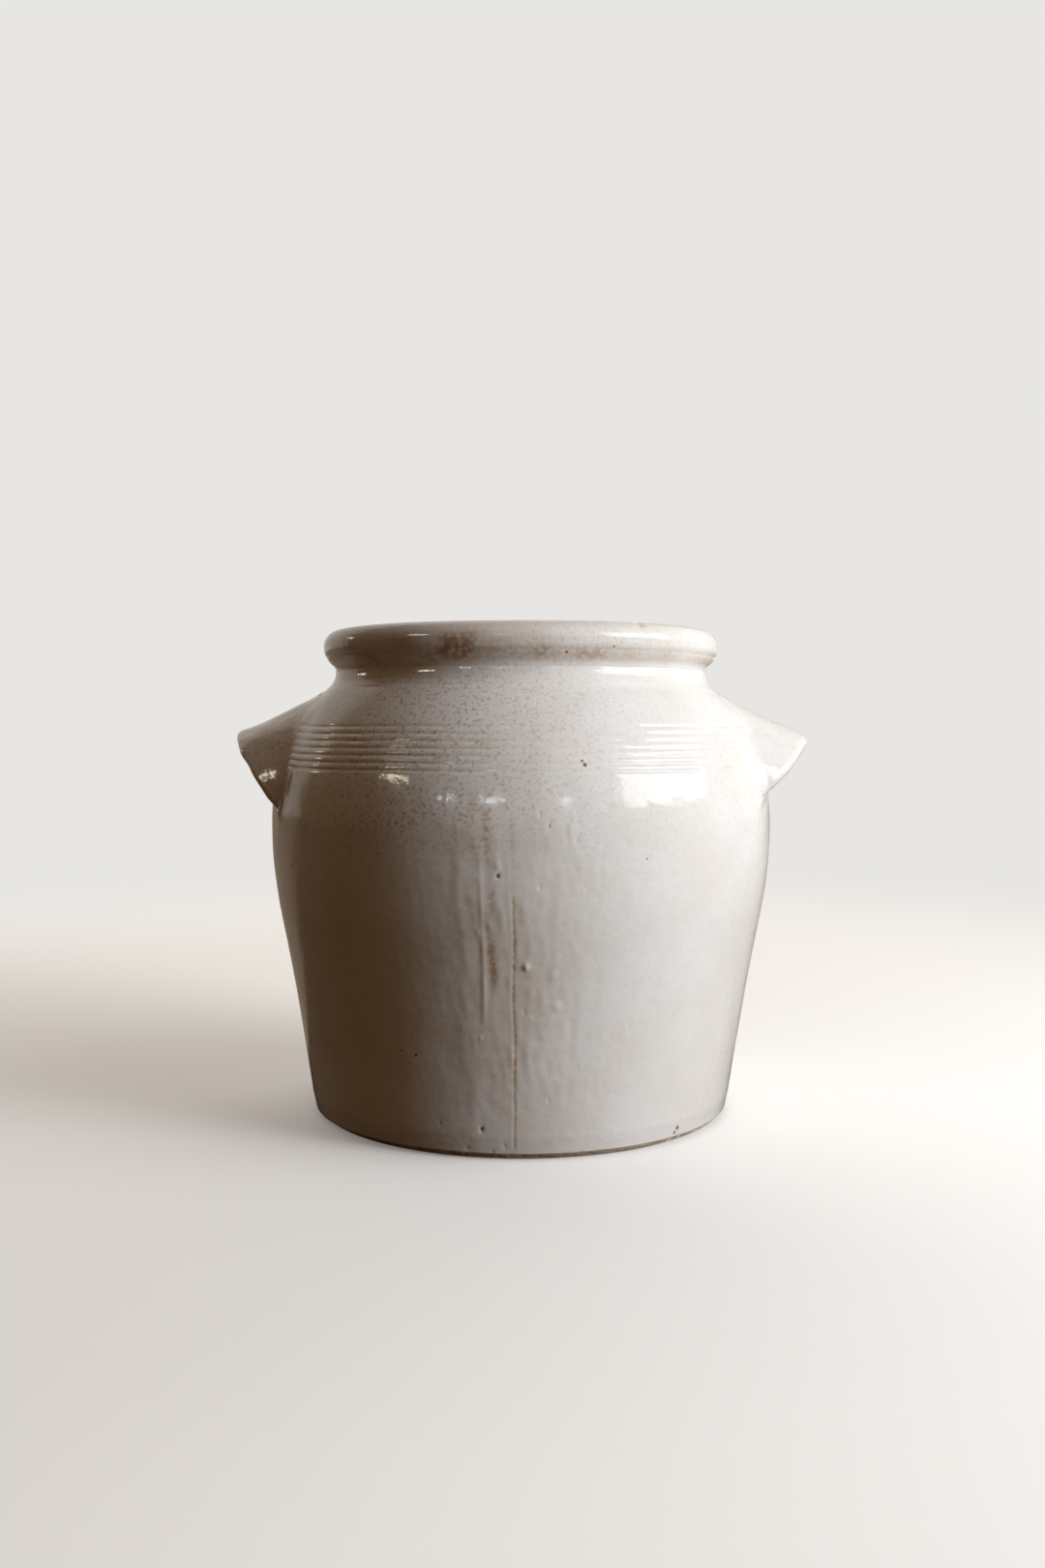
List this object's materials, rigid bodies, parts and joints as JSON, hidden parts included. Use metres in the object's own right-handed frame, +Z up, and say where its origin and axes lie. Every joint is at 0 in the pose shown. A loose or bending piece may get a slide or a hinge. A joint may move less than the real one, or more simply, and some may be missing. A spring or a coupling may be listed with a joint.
{
  "type": "confit pot",
  "caption": "Open, bellied stoneware preserving pot with a rolled rim, turned grooves round the shoulder and hooded side ears, glazed inside and out.",
  "frame": {"origin": "middle of the foot's flat underside, on the table", "axes": "+X from the left ear to the right ear as the picture shows them, +Y away from the viewer, +Z up along the pot's axis"},
  "size_m": [0.3509, 0.3044, 0.29],
  "materials": {
    "bare_stoneware": "matt fired clay",
    "outer_glaze": "glossy, slightly pitted",
    "inner_glaze": "glossy"
  },
  "bodies": {
    "root": {"base_disc": "bare_stoneware", "body_wall": "bare_stoneware", "rim_collar": "bare_stoneware", "left_ear": "bare_stoneware", "right_ear": "bare_stoneware", "outer_glaze": "outer_glaze", "inner_glaze": "inner_glaze"}
  },
  "joints": []
}
